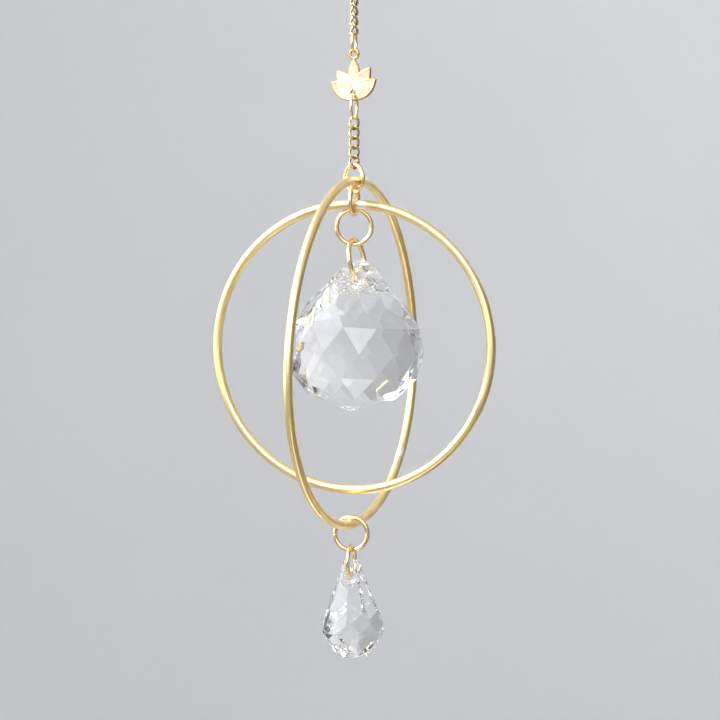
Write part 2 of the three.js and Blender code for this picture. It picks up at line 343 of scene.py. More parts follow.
class Studio(PropertyGroup):
    """The camera and the light."""

    azimuth: FloatProperty(
        name="Azimuth", description="Turn of the camera round the object", default=math.radians(16.4),
        subtype="ANGLE",
    )
    elevation: FloatProperty(
        name="Elevation", description="Height of the camera's view", default=math.radians(2.2),
        subtype="ANGLE",
    )
    distance: FloatProperty(
        name="Distance", description="From the camera to the hanging line", default=0.65, unit="LENGTH"
    )
    lens: FloatProperty(
        name="Lens", description="Focal length on a 36 mm sensor", default=150.5, unit="CAMERA"
    )
    look_beside: FloatProperty(
        name="Look beside", description="How far right of the hanging line the camera looks",
        default=1.25 * MM, unit="LENGTH",
    )
    look_below: FloatProperty(
        name="Look below", description="How far below the small hoop's middle the camera looks",
        default=2.81 * MM, unit="LENGTH",
    )
    window_glow: FloatProperty(
        name="Window", description="Brightness of the large window light", default=4.0
    )
    sun_glow: FloatProperty(
        name="Sun", description="Brightness of the sun on the object", default=20.0
    )
    front_glow: FloatProperty(
        name="Front", description="Brightness of the light over the camera", default=4.2
    )
    fill_glow: FloatProperty(
        name="Left fill", description="Brightness of the light under the window", default=2.2
    )
    floor_glow: FloatProperty(
        name="Floor strip", description="Brightness of the narrow light below", default=3.0
    )
    wash_glow: FloatProperty(
        name="Wash", description="Brightness of the light on the wall behind", default=9.5
    )
    sky_glow: FloatProperty(
        name="Sky", description="Brightness of the room's open top", default=0.67
    )


# ------------------------------------------------------------------- placing and joining


def node_middle(node):
    """The middle of a node's box in the frame."""
    low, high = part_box(node)
    return (low + high) / 2


def node_size(node):
    low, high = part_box(node)
    return high - low


def mesh_middle(bm):
    """The middle of a mesh's box."""
    corners = [vert.co for vert in bm.verts]
    low = Vector(tuple(min(co[axis] for co in corners) for axis in range(3)))
    high = Vector(tuple(max(co[axis] for co in corners) for axis in range(3)))
    return (low + high) / 2


def settle(bm, node, yaw=0.0, lean=0.0):
    """Leans and turns an upright piece, and moves it so that it fills its node's place."""
    turn = Matrix.Rotation(math.radians(yaw), 4, "Z") @ Matrix.Rotation(math.radians(lean), 4, "X")
    bmesh.ops.transform(bm, matrix=turn, verts=bm.verts)
    bmesh.ops.translate(bm, vec=node_middle(node) - mesh_middle(bm), verts=bm.verts)


def make_object(bm, name):
    """Turns a bmesh into an object of that name."""
    mesh = bpy.data.meshes.new(name)
    bm.to_mesh(mesh)
    bm.free()
    piece = bpy.data.objects.new(name, mesh)
    bpy.context.scene.collection.objects.link(piece)
    return piece


def give_finishes(piece, finishes, index=None):
    """Gives a piece its materials, and where an index is named, every face that one of them."""
    for finish in finishes:
        piece.data.materials.append(finish)
    if index is not None:
        for polygon in piece.data.polygons:
            polygon.material_index = index


def dress(piece, nodes, material=None):
    """Gives a piece its material, where it has none yet, and its place in the frame."""
    if material:
        piece.data.materials.append(material)
    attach(piece, BODY)
    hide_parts(*nodes)
    return piece


def combine(base, others, operation):
    """Joins solid objects to a base object, or cuts them from it, and removes them."""
    for other in others:
        joint = base.modifiers.new(other.name, "BOOLEAN")
        joint.operation = operation
        joint.solver = "MANIFOLD"
        joint.object = other
    graph = bpy.context.evaluated_depsgraph_get()
    joined = bpy.data.meshes.new_from_object(base.evaluated_get(graph))
    base.modifiers.clear()
    spare = base.data
    base.data = joined
    joined.name = base.name
    bpy.data.meshes.remove(spare)
    for other in others:
        spare = other.data
        bpy.data.objects.remove(other)
        bpy.data.meshes.remove(spare)


# --------------------------------------------------------------------------- wire work


def nearest_turn(angle, reference):
    """The angle plus whole turns that lies nearest the reference."""
    return angle + math.tau * round((reference - angle) / math.tau)


def wrap_wire(bm, radius):
    """Gives a ring of wire a UV map in metres: U runs along the wire from its joint at +X, and
    V runs round it."""
    layer = bm.loops.layers.uv.new("wire")

    def along(co):
        return math.atan2(co.z, co.x)

    def around(co):
        return math.atan2(co.y, math.hypot(co.x, co.z) - radius)

    section = max(abs(vert.co.y) for vert in bm.verts)
    for face in bm.faces:
        middle = face.calc_center_median()
        for loop in face.loops:
            u = nearest_turn(along(loop.vert.co), along(middle)) * radius
            v = nearest_turn(around(loop.vert.co), around(middle)) * section
            loop[layer].uv = (u, v)


def wire_ring(radius, gauge, steps, sides, joint=0.0, opening=0.0):
    """A ring of round wire, upright in XZ about the origin, with its joint at an angle in
    degrees from +X. An opening leaves two butted ends facing each other there."""
    bm = bmesh.new()
    open_angle = opening / radius
    bmesh.ops.create_circle(
        bm, cap_ends=opening > 0, segments=sides, radius=gauge / 2,
        matrix=Matrix.Translation((radius, 0, 0)),
    )
    bmesh.ops.spin(
        bm, geom=bm.verts[:] + bm.edges[:] + bm.faces[:], cent=(0, 0, 0), axis=(0, -1, 0),
        angle=math.tau - open_angle, steps=steps, use_merge=opening == 0,
    )
    bmesh.ops.recalc_face_normals(bm, faces=bm.faces)
    if opening > 0:
        rims = [edge for edge in bm.edges if any(len(face.verts) > 4 for face in edge.link_faces)]
        bmesh.ops.bevel(
            bm, geom=rims, offset=gauge / CUT_END_PARTS, offset_type="OFFSET", segments=2, profile=0.5,
            affect="EDGES", material=-1,
        )
    turn = Matrix.Rotation(-open_angle / 2, 4, "Y")
    bmesh.ops.transform(bm, matrix=turn, verts=bm.verts)
    wrap_wire(bm, radius)
    turn = Matrix.Rotation(-math.radians(joint), 4, "Y")
    bmesh.ops.transform(bm, matrix=turn, verts=bm.verts)
    for face in bm.faces:
        face.smooth = len(face.verts) <= 4
    return bm


def hang_ring(name, wires):
    """A ring of round wire, as tall as its node is, in that node's place."""
    ring = RINGS[name]
    gauge = ring.gauge * MM
    outer = (node_size(name).z - gauge) / math.cos(math.radians(ring.lean)) + gauge
    bm = wire_ring(
        (outer - gauge) / 2, gauge, wires.ring_steps, wires.wire_sides, ring.joint, wires.joint_width
    )
    settle(bm, name, ring.yaw, ring.lean)
    return make_object(bm, name + "_wire")


def shape_hoop(bm, hoop, radius, gauge, braze_rise):
    """Draws a round hoop to its egg shape and swells its wire at the brazed joint."""
    braze_length = BRAZE_GAUGES * gauge
    joint = math.radians(hoop.joint)
    for vert in bm.verts:
        angle = math.atan2(vert.co.z, vert.co.x)
        outward = Vector((math.cos(angle), 0, math.sin(angle)))
        line = outward * radius
        offset = vert.co - line
        away = nearest_turn(angle - joint, 0.0) * radius / braze_length
        swell = 1 + math.exp(-away * away) * 2 * braze_rise / gauge
        egg = -hoop.egg * MM * math.sin(3 * angle)
        vert.co = line + offset * swell + outward * egg


def hang_hoop(name, wires):
    """A hoop of round wire with one brazed joint, in its node's place."""
    hoop = HOOPS[name]
    gauge = wires.hoop_gauge
    radius = (hoop.outer * MM - gauge) / 2
    bm = wire_ring(radius, gauge, wires.hoop_steps, wires.wire_sides, hoop.joint)
    shape_hoop(bm, hoop, radius, gauge, wires.braze_rise)
    settle(bm, name, hoop.yaw, hoop.lean)
    return make_object(bm, name + "_wire")


def blunt(value, rounding):
    """Raises the size of a value to a power and keeps its sign."""
    return math.copysign(abs(value) ** rounding, value)


def curb_point(angle, half_length, half_width, wires):
    """A point on a curb link's centre line, and the direction square to the link's face there."""
    side = half_width * blunt(math.cos(angle), wires.link_rounding)
    rise = blunt(math.sin(angle), wires.link_rounding)
    turn = -wires.link_twist * rise / 2
    point = Vector((side * math.cos(turn), side * math.sin(turn), half_length * rise))
    return point, Vector((-math.sin(turn), math.cos(turn), 0))


def bend_link(bm, radius, half_length, half_width, wires):
    """Bends a round ring of wire to a twisted oval link, keeping the wire's section round."""
    peek = 1e-4
    for vert in bm.verts:
        angle = math.atan2(vert.co.z, vert.co.x)
        outward = math.hypot(vert.co.x, vert.co.z) - radius
        ahead = curb_point(angle + peek, half_length, half_width, wires)[0]
        behind = curb_point(angle - peek, half_length, half_width, wires)[0]
        point, across = curb_point(angle, half_length, half_width, wires)
        forward = (ahead - behind).normalized()
        out = across.cross(forward).normalized()
        across = forward.cross(out)
        vert.co = point + out * outward + across * vert.co.y


def make_link(node, yaw, wires):
    """One twisted link of a curb chain, in its node's place."""
    gauge = wires.link_gauge
    half_length = (node_size(node).z - gauge) / 2
    half_width = (wires.link_width - gauge) / 2
    radius = (half_length + half_width) / 2
    steps = wires.ring_steps // 2
    bm = wire_ring(radius, gauge, steps, wires.wire_sides // 2)
    bend_link(bm, radius, half_length, half_width, wires)
    settle(bm, node, yaw)
    return make_object(bm, node + "_wire")


# -------------------------------------------------------------------------- lotus charm


def petal_side(start, pull, end, points):
    """Points of a quadratic curve, start and end included."""
    toward = pull * (2 / 3)
    return interpolate_bezier(start, start / 3 + toward, end / 3 + toward, end, points)


def petal_outline(petal, inset=0.0):
    """A leaf outline in XZ, as points in mm, with each side bulging as the petal says. An
    inset draws the sides in by that distance, and the pointed ends in by rather more."""
    base = Vector((petal.base[0], 0, petal.base[1]))
    tip = Vector((petal.tip[0], 0, petal.tip[1]))
    chord = (tip - base).normalized()
    base += chord * inset * TIP_INSET
    tip -= chord * inset * TIP_INSET
    across = Vector((-chord.z, 0, chord.x))
    middle = (base + tip) / 2
    left_pull = middle + across * 2 * (petal.bulge[0] - inset)
    right_pull = middle - across * 2 * (petal.bulge[1] - inset)
    left = petal_side(base, left_pull, tip, PETAL_SIDE_POINTS)
    right = petal_side(tip, right_pull, base, PETAL_SIDE_POINTS)
    return left[:-1] + right[:-1]


def leaf_plate(outline, back, front):
    """A flat plate with a leaf outline, from back to front in metres before the middle."""
    bm = bmesh.new()
    rim = [bm.verts.new(point * MM) for point in outline]
    face = bm.faces.new(rim)
    bmesh.ops.translate(bm, vec=(0, -back, 0), verts=bm.verts)
    raised = bmesh.ops.extrude_face_region(bm, geom=[face], use_keep_orig=True)["geom"]
    corners = [item for item in raised if isinstance(item, bmesh.types.BMVert)]
    bmesh.ops.translate(bm, vec=(0, back - front, 0), verts=corners)
    bmesh.ops.recalc_face_normals(bm, faces=bm.faces)
    return bm


def make_petal(petal, name, sizes, finishes):
    """One petal, its front towards -Y, with rounded edges in a darker gold that is painted shade. A
    line inside the rim of a lined petal is the edge of its face, which lies a little lower."""
    front = petal.face * MM
    bm = leaf_plate(petal_outline(petal), -CHARM_BACK * MM, front)
    caps = [face for face in bm.faces if len(face.verts) > 4]
    edges = {edge for cap in caps for edge in cap.edges}
    # Rounded edges take the darker edge finish, which paints shade along them.
    for face in bm.faces:
        face.material_index = FACE if face in caps else SHADED_EDGE
    bmesh.ops.bevel(
        bm, geom=list(edges), offset=sizes.petal_round, offset_type="OFFSET",
        segments=PETAL_EDGE_STEPS, profile=0.5, affect="EDGES", clamp_overlap=True, material=SHADED_EDGE,
    )
    piece = make_object(bm, name)
    give_finishes(piece, finishes)
    if petal.lined:
        inner = petal_outline(petal, sizes.petal_line / MM)
        field = make_object(
            leaf_plate(inner, front - sizes.petal_line_depth, 2 * front), name + "_field"
        )
        give_finishes(field, finishes)
        combine(piece, [field], "DIFFERENCE")
    return piece


def make_drill(radius, height, name):
    """A rod along Y at a height, for a hole through the charm."""
    bm = bmesh.new()
    place = Matrix.Translation((0, 0, height)) @ Matrix.Rotation(math.pi / 2, 4, "X")
    bmesh.ops.create_cone(
        bm, cap_ends=True, segments=CHARM_DRILL_SIDES, radius1=radius, radius2=radius,
        depth=CHARM_DRILL_LENGTH, matrix=place,
    )
    return make_object(bm, name)


def make_charm(sizes, wires, finishes):
    """The charm, which hangs on the Z axis by the top of its eyelet."""
    radius = (CHARM_HOLE + EYELET_GAUGE) / 2 * MM
    eyelet = wire_ring(radius, EYELET_GAUGE * MM, wires.ring_steps // 2, wires.wire_sides)
    charm = make_object(eyelet, "lotus_charm_casting")
    # The eyelet takes the darker edge finish, painted shade.
    give_finishes(charm, finishes, SHADED_EDGE)
    petals = [make_petal(petal, name, sizes, finishes) for name, petal in PETALS.items()]
    combine(charm, petals, "UNION")
    hole = CHARM_HOLE / 2 * MM
    drills = [
        make_drill(hole, 0, "eyelet_drill"),
        make_drill(hole, -LOWER_HOLE_DEPTH * MM, "hole_drill"),
    ]
    # The walls of the holes take the darker edge finish too, painted shade.
    for drill in drills:
        give_finishes(drill, finishes, SHADED_EDGE)
    combine(charm, drills, "DIFFERENCE")
    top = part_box("lotus_charm")[1].z
    place = Matrix.Translation((0, 0, top - (CHARM_HOLE / 2 + EYELET_GAUGE) * MM))
    charm.data.transform(place @ Matrix.Rotation(math.radians(CHARM_YAW), 4, "Z"))
    return charm


# ----------------------------------------------------------------------------- cut glass


def row_of_corners(bm, stone, depth, radius, index):
    """A level row of a stone's corners. Rows with an odd index are turned by half a step."""
    turn = math.radians(stone.turn) + index % 2 * math.pi / stone.corners
    place = Matrix.Translation((0, 0, -depth * MM)) @ Matrix.Rotation(turn, 4, "Z")
    bmesh.ops.create_circle(bm, segments=stone.corners, radius=radius * MM, matrix=place)


def cut_facets(bm, arris):
    """Wraps corners in flat facets with a fine polished edge between each two."""
    bmesh.ops.delete(bm, geom=bm.edges[:], context="EDGES_FACES")
    hull = bmesh.ops.convex_hull(bm, input=bm.verts[:], use_existing_faces=False)
    inside = [item for item in hull["geom_interior"] if isinstance(item, bmesh.types.BMVert)]
    bmesh.ops.delete(bm, geom=inside, context="VERTS")
    bmesh.ops.dissolve_limit(
        bm, angle_limit=math.radians(FLAT_WITHIN), verts=bm.verts[:], edges=bm.edges[:]
    )
    bmesh.ops.bevel(
        bm, geom=bm.edges[:], offset=arris / 2, offset_type="OFFSET", segments=1, profile=0.5,
        affect="EDGES", clamp_overlap=True, material=-1,
    )
    bmesh.ops.recalc_face_normals(bm, faces=bm.faces)


def drill_stone(piece, stone):
    """Drills the hole along X and grinds a dished hollow at each of its mouths."""
    hole = stone.hole / 2 * MM
    depth = stone.ceiling * MM + hole
    bm = bmesh.new()
    across = Matrix.Translation((0, 0, -depth)) @ Matrix.Rotation(math.pi / 2, 4, "Y")
    bmesh.ops.create_cone(
        bm, cap_ends=True, segments=STONE_DRILL_SIDES, radius1=hole, radius2=hole,
        depth=4 * stone.neck * MM, matrix=across,
    )
    cutters = [make_object(bm, "drill")]
    dish = stone.dish * MM
    for side, name in ((1, "right_dish"), (-1, "left_dish")):
        bm = bmesh.new()
        place = Matrix.Translation((side * (stone.neck / 2 * MM + dish), 0, -depth + hole / 2))
        bmesh.ops.create_uvsphere(
            bm, u_segments=DISH_SEGMENTS, v_segments=DISH_SEGMENTS // 2, radius=dish, matrix=place
        )
        cutters.append(make_object(bm, name))
    for cutter in cutters:
        give_finishes(cutter, piece.data.materials, GROUND)
    combine(piece, cutters, "DIFFERENCE")


def make_stone(node, stone, corners, sizes, finishes):
    """A stone with facets round its corners and a drilled hole, in its node's place."""
    bm = bmesh.new()
    corners(bm)
    cut_facets(bm, sizes.arris)
    piece = make_object(bm, node + "_glass")
    give_finishes(piece, finishes)
    drill_stone(piece, stone)
    bm = bmesh.new()
    bm.from_mesh(piece.data)
    for face in bm.faces:
        face.smooth = face.material_index == GROUND
    for edge in bm.edges:
        edge.smooth = len({face.material_index for face in edge.link_faces}) == 1
    settle(bm, node, stone.yaw, stone.lean)
    bm.to_mesh(piece.data)
    bm.free()
    return piece


def ball_corners(bm):
    """The rows of the ball's corners, and the point at its bottom."""
    for index, (depth, radius) in enumerate(BALL_ROWS):
        row_of_corners(bm, BALL, depth, radius, index)
    bmesh.ops.create_vert(bm, co=(0, 0, -BALL_TIP * MM))


def drop_corners(bm):
    """The long facets run from the neck past the girdle to a point on the belly, so each
    belly corner lies in the plane of the facet above it."""
    flare = (DROP_GIRDLE[1] - DROP_NECK_RADIUS) / DROP_GIRDLE[0]
    belly = (DROP_NECK_RADIUS + flare * DROP_BELLY_DEPTH) * math.cos(math.pi / DROP.corners)
    row_of_corners(bm, DROP, 0, DROP_NECK_RADIUS, 0)
    rows = (DROP_GIRDLE, (DROP_BELLY_DEPTH, belly), DROP_WAIST, DROP_TABLE)
    for index, (depth, radius) in enumerate(rows):
        row_of_corners(bm, DROP, depth, radius, index)


# ----------------------------------------------------------------------------- materials


def add_node(tree, kind, **values):
    """A node of that kind. A value is set on the node's property, or else on its input."""
    node = tree.nodes.new(kind)
    for name, value in values.items():
        if hasattr(node, name):
            setattr(node, name, value)
        else:
            node.inputs[name.replace("_", " ")].default_value = value
    return node


def join(source, output, target, socket):
    """Links an output of one node to an input of another."""
    source.id_data.links.new(source.outputs[output], target.inputs[socket])


def new_group(name, inputs, outputs):
    """A shader node group with its own input and output nodes."""
    tree = bpy.data.node_groups.new(name, "ShaderNodeTree")
    for label, kind in inputs:
        tree.interface.new_socket(name=label, in_out="INPUT", socket_type=kind)
    for label, kind in outputs:
        tree.interface.new_socket(name=label, in_out="OUTPUT", socket_type=kind)
    return tree, tree.nodes.new("NodeGroupInput"), tree.nodes.new("NodeGroupOutput")


def worn_metal_group():
    """Metal that has been drawn and handled: soft patches of tarnish, fine lines along the
    grain and a grain height. Vector holds metres, with the grain along X."""
    name = "worn_metal"
    if name in bpy.data.node_groups:
        return bpy.data.node_groups[name]
    tree, given, made = new_group(
        name,
        (
            ("Vector", "NodeSocketVector"), ("Clean", "NodeSocketColor"),
            ("Tarnish", "NodeSocketColor"), ("Tarnish Amount", "NodeSocketFloat"),
            ("Gloss", "NodeSocketFloat"), ("Grain", "NodeSocketFloat"),
        ),
        (
            ("Color", "NodeSocketColor"), ("Roughness", "NodeSocketFloat"),
            ("Height", "NodeSocketFloat"),
        ),
    )
    place = add_node(tree, "ShaderNodeTexCoord")
    patches = add_node(tree, "ShaderNodeTexNoise", Scale=TARNISH_PATCHES, Detail=3.0, Roughness=0.55)
    join(place, "Object", patches, "Vector")
    stretch = add_node(tree, "ShaderNodeMapping", Scale=GRAIN_LINES)
    join(given, "Vector", stretch, "Vector")
    lines = add_node(tree, "ShaderNodeTexNoise", Scale=1.0, Detail=2.0, Roughness=0.6)
    join(stretch, "Vector", lines, "Vector")

    amount = add_node(tree, "ShaderNodeMapRange", From_Min=TARNISH_START, From_Max=TARNISH_FULL)
    join(patches, "Fac", amount, "Value")
    join(given, "Tarnish Amount", amount, "To Max")
    mix = add_node(tree, "ShaderNodeMix", data_type="RGBA")
    join(amount, "Result", mix, "Factor")
    join(given, "Clean", mix, 6)
    join(given, "Tarnish", mix, 7)
    join(mix, 2, made, "Color")

    streak = add_node(tree, "ShaderNodeMath", operation="MULTIPLY_ADD")
    join(lines, "Fac", streak, 0)
    join(given, "Grain", streak, 1)
    join(given, "Gloss", streak, 2)
    dull = add_node(tree, "ShaderNodeMath", operation="MULTIPLY_ADD")
    dull.inputs[1].default_value = TARNISH_DULLS
    join(amount, "Result", dull, 0)
    join(streak, "Value", dull, 2)
    join(dull, "Value", made, "Roughness")
    join(lines, "Fac", made, "Height")
    return tree


def make_metal(name, finishes, uv_map=None):
    """A metal finish. Its grain follows the wire's own UV map, or else the piece's X axis."""
    metal = METALS[name]
    material = bpy.data.materials.new(name)
    material.use_nodes = True
    tree = material.node_tree
    shader = tree.nodes["Principled BSDF"]
    shader.inputs["Metallic"].default_value = 1.0
    if uv_map:
        source = add_node(tree, "ShaderNodeUVMap", uv_map=uv_map).outputs["UV"]
    else:
        source = add_node(tree, "ShaderNodeTexCoord").outputs["Object"]
    worn = tree.nodes.new("ShaderNodeGroup")
    worn.node_tree = worn_metal_group()
    tree.links.new(source, worn.inputs["Vector"])
    worn.inputs["Clean"].default_value = (*getattr(finishes, metal.clean), 1.0)
    worn.inputs["Tarnish"].default_value = (*getattr(finishes, metal.tarnish), 1.0)
    worn.inputs["Tarnish Amount"].default_value = metal.tarnish_amount
    worn.inputs["Gloss"].default_value = metal.gloss
    worn.inputs["Grain"].default_value = metal.grain
    bump = add_node(tree, "ShaderNodeBump", Strength=metal.relief, Distance=GRAIN_DEPTH)
    join(worn, "Height", bump, "Height")
    join(worn, "Color", shader, "Base Color")
    join(worn, "Roughness", shader, "Roughness")
    join(bump, "Normal", shader, "Normal")
    return material


def glass(name, tint, roughness, grit=0.0):
    """Cut glass by plain values, with the faintest film of handling in its gloss. A ground wall
    has some grit, which sparkles."""
    material = bpy.data.materials.new(name)
    material.use_nodes = True
    tree = material.node_tree
    shader = tree.nodes["Principled BSDF"]
    shader.inputs["Base Color"].default_value = (*tint, 1.0)
    shader.inputs["Metallic"].default_value = 0.0
    shader.inputs["Transmission Weight"].default_value = 1.0
    shader.inputs["IOR"].default_value = GLASS_IOR
    place = add_node(tree, "ShaderNodeTexCoord")
    film = add_node(tree, "ShaderNodeTexNoise", Scale=GLASS_FILM, Detail=2.0)
    join(place, "Object", film, "Vector")
    spread = add_node(
        tree, "ShaderNodeMapRange", From_Min=0.5, From_Max=0.8, To_Min=roughness,
        To_Max=roughness + FILM_DULLS,
    )
    join(film, "Fac", spread, "Value")
    join(spread, "Result", shader, "Roughness")
    if grit:
        pits = add_node(tree, "ShaderNodeTexVoronoi", feature="SMOOTH_F1", Scale=GROUND_PITS)
        join(place, "Object", pits, "Vector")
        bump = add_node(tree, "ShaderNodeBump", Strength=grit, Distance=PIT_DEPTH)
        join(pits, "Distance", bump, "Height")
        join(bump, "Normal", shader, "Normal")
    return material


def solder_joint(material, colour, reach):
    """Silvery solder round the wire at its joint, which is where U is 0 on the wire's map."""
    tree = material.node_tree
    shader = tree.nodes["Principled BSDF"]
    wire = add_node(tree, "ShaderNodeUVMap", uv_map="wire")
    parts = add_node(tree, "ShaderNodeSeparateXYZ")
    join(wire, "UV", parts, "Vector")
    away = add_node(tree, "ShaderNodeMath", operation="ABSOLUTE")
    join(parts, "X", away, 0)
    mask = add_node(
        tree, "ShaderNodeMapRange", interpolation_type="SMOOTHSTEP", From_Min=reach,
        From_Max=1.6 * reach, To_Min=0.85, To_Max=0.0,
    )
    join(away, "Value", mask, "Value")
    mix = add_node(tree, "ShaderNodeMix", data_type="RGBA")
    join(mask, "Result", mix, "Factor")
    tree.links.new(shader.inputs["Base Color"].links[0].from_socket, mix.inputs[6])
    mix.inputs[7].default_value = (*colour, 1.0)
    join(mix, 2, shader, "Base Color")


def wire_metal(name, finishes):
    """A metal for wire, made the first time that it is asked for. The hoops' brass has solder
    at its joints."""
    if name in bpy.data.materials:
        return bpy.data.materials[name]
    material = make_metal(name, finishes, uv_map="wire")
    if name == "drawn_brass":
        solder_joint(material, finishes.solder, SOLDER_REACH)
    return material


# ----------------------------------------------------------------------------- operators


class SUNCATCHER_OT_hoops(Operator):
    """Make the two brass hoops"""

    bl_idname = "suncatcher.hoops"
    bl_label = "Hoops"
    bl_options = {"REGISTER", "UNDO"}

    def execute(self, context):
        scene = context.scene
        brass = wire_metal("drawn_brass", scene.suncatcher_finishes)
        for name in HOOPS:
            dress(hang_hoop(name, scene.suncatcher_wires), [name], brass)
        return {"FINISHED"}


class SUNCATCHER_OT_rings(Operator):
    """Make the hanging ring, the connectors and the jump rings"""

    bl_idname = "suncatcher.rings"
    bl_label = "Rings"
    bl_options = {"REGISTER", "UNDO"}

    def execute(self, context):
        scene = context.scene
        gold = wire_metal("plated_gold", scene.suncatcher_finishes)
        for name in RINGS:
            dress(hang_ring(name, scene.suncatcher_wires), [name], gold)
        return {"FINISHED"}


class SUNCATCHER_OT_chains(Operator):
    """Make the links of the two curb chains"""

    bl_idname = "suncatcher.chains"
    bl_label = "Chains"
    bl_options = {"REGISTER", "UNDO"}

    def execute(self, context):
        scene = context.scene
        # A dark gold, partly the chain's own and partly painted shade in the links' gaps and far sides.
        gold = wire_metal("chain_gold", scene.suncatcher_finishes)
        for name, chain in CHAINS.items():
            for number in range(1, chain.links + 1):
                node = f"{name}_{number}"
                link = make_link(node, chain.yaw, scene.suncatcher_wires)
                dress(link, [node], gold)
        return {"FINISHED"}


class SUNCATCHER_OT_charm(Operator):
    """Make the lotus charm"""

    bl_idname = "suncatcher.charm"
    bl_label = "Lotus charm"
    bl_options = {"REGISTER", "UNDO"}

    def execute(self, context):
        scene = context.scene
        # The charm's faces, and its edges in a darker gold that is painted shade.
        names = ("cast_gold", "cast_gold_edge")
        finishes = [make_metal(name, scene.suncatcher_finishes) for name in names]
        charm = make_charm(scene.suncatcher_stones, scene.suncatcher_wires, finishes)
        dress(charm, ["lotus_charm"])
        return {"FINISHED"}


class SUNCATCHER_OT_stones(Operator):
    """Cut the glass ball and the glass drop"""

    bl_idname = "suncatcher.stones"
    bl_label = "Cut glass"
    bl_options = {"REGISTER", "UNDO"}

    def execute(self, context):
        scene = context.scene
        tint = scene.suncatcher_finishes.glass
        finishes = [glass("cut_glass", tint, 0.0), glass("ground_glass", tint, 0.14, grit=1.0)]
        for node, stone, corners in (
            ("crystal_ball", BALL, ball_corners),
            ("crystal_drop", DROP, drop_corners),
        ):
            piece = make_stone(node, stone, corners, scene.suncatcher_stones, finishes)
            dress(piece, [node])
        return {"FINISHED"}


# --------------------------------------------------------------------------------- stage


def painted_wall(colour):
    """Matt paint with the faint mottle of a rolled wall."""
    material = bpy.data.materials.new("matt_paint")
    material.use_nodes = True
    tree = material.node_tree
    shader = tree.nodes["Principled BSDF"]
    shader.inputs["Roughness"].default_value = 0.9
    place = add_node(tree, "ShaderNodeTexCoord")
    mottle = add_node(tree, "ShaderNodeTexNoise", Scale=WALL_MOTTLE, Detail=5.0, Roughness=0.6)
    join(place, "Object", mottle, "Vector")
    shade = add_node(tree, "ShaderNodeMix", data_type="RGBA")
    join(mottle, "Fac", shade, "Factor")
    shade.inputs[6].default_value = (*[0.97 * value for value in colour], 1.0)
    shade.inputs[7].default_value = (*[min(1.0, 1.03 * value) for value in colour], 1.0)
    join(shade, 2, shader, "Base Color")
    return material


def make_room(radius, floor, cove, height, paint):
    """A round room: a floor that sweeps up through a cove to a plain wall, open above."""
    bm = bmesh.new()
    points = [Vector((0, 0, floor)), Vector((radius - cove, 0, floor))]
    quarter = 12
    for step in range(1, quarter + 1):
        angle = math.pi / 2 * step / quarter
        reach = radius - cove + cove * math.sin(angle)
        points.append(Vector((reach, 0, floor + cove * (1 - math.cos(angle)))))
    points.append(Vector((radius, 0, floor + height)))
    profile = [bm.verts.new(point) for point in points]
    for start, end in zip(profile, profile[1:]):
        bm.edges.new((start, end))
    bmesh.ops.spin(
        bm, geom=bm.verts[:] + bm.edges[:], cent=(0, 0, 0), axis=(0, 0, 1), angle=math.tau,
        steps=96, use_merge=True,
    )
    bmesh.ops.remove_doubles(bm, verts=bm.verts, dist=0.1 * MM)
    bmesh.ops.recalc_face_normals(bm, faces=bm.faces)
    for face in bm.faces:
        face.smooth = True
    room = make_object(bm, "round_room")
    room.data.materials.append(painted_wall(paint))


def direction(azimuth, elevation):
    """The unit vector towards an azimuth, where 0 is -Y and 90 is +X, and an elevation."""
    level = math.cos(elevation)
    return Vector((math.sin(azimuth) * level, -math.cos(azimuth) * level, math.sin(elevation)))


def station_place(station, centre, azimuth=0.0):
    """Where a station is, with its azimuth counted from one given in radians."""
    outward = direction(azimuth + math.radians(station.azimuth), math.radians(station.elevation))
    return centre + outward * station.distance


def add_lamp(light, place, target, mirrored_only=False):
    """Hangs a light at a place, facing the target. The camera doesn't see it. A mirrored_only
    light shows only in gloss."""
    lamp = bpy.data.objects.new(light.name, light)
    bpy.context.scene.collection.objects.link(lamp)
    lamp.location = place
    lamp.visible_camera = False
    lamp.visible_transmission = not mirrored_only
    lamp.visible_diffuse = not mirrored_only
    lamp.rotation_euler = (place - target).to_track_quat("Z", "Y").to_euler()


def soft_panel(name, place, target, width, height, glow, colour=WHITE, mirrored_only=False):
    """A soft rectangular light. glow is its brightness, which its size doesn't change."""
    light = bpy.data.lights.new(name, "AREA")
    light.shape = "RECTANGLE"
    light.size = width
    light.size_y = height
    light.energy = glow * math.pi * width * height
    light.color = colour
    add_lamp(light, place, target, mirrored_only)


def sun_spot(place, target, radius, glow):
    """A small hard light in a narrow cone about the object. glow is its strength there,
    whatever its distance."""
    light = bpy.data.lights.new("sun", "SPOT")
    light.spot_size = math.radians(14)
    light.spot_blend = 0.6
    light.shadow_soft_size = radius
    light.energy = glow * 4 * math.pi * (place - target).length_squared
    light.color = (1.0, 0.96, 0.88)
    add_lamp(light, place, target)


def light_object(centre, studio):
    """The window and the sun, and three lights that show only in gloss."""
    place = station_place(WINDOW, centre)
    soft_panel(
        "window", place, centre, WINDOW.width, WINDOW.height, studio.window_glow, COOL_DAYLIGHT
    )
    for name, station, azimuth, glow in (
        ("left_fill", LEFT_FILL, 0.0, studio.fill_glow),
        ("front", FRONT, 0.0, studio.front_glow),
        ("floor_strip", FLOOR_STRIP, studio.azimuth, studio.floor_glow),
    ):
        place = station_place(station, centre, azimuth)
        soft_panel(name, place, centre, station.width, station.height, glow, mirrored_only=True)
    sunward = direction(math.radians(SUN_AZIMUTH), math.radians(SUN_ELEVATION))
    sun_spot(centre + sunward * SUN_DISTANCE, centre, SUN_RADIUS, studio.sun_glow)


def light_wall(studio):
    """The light that washes the wall behind the object."""
    azimuth = studio.azimuth + math.radians(WASH_AZIMUTH)
    wall = direction(azimuth, math.radians(WASH_ELEVATION)) * ROOM_RADIUS
    place = wall * WASH_WAY + Vector(WASH_ASIDE)
    soft_panel("wash", place, wall, WASH_WIDTH, WASH_WIDTH, studio.wash_glow)


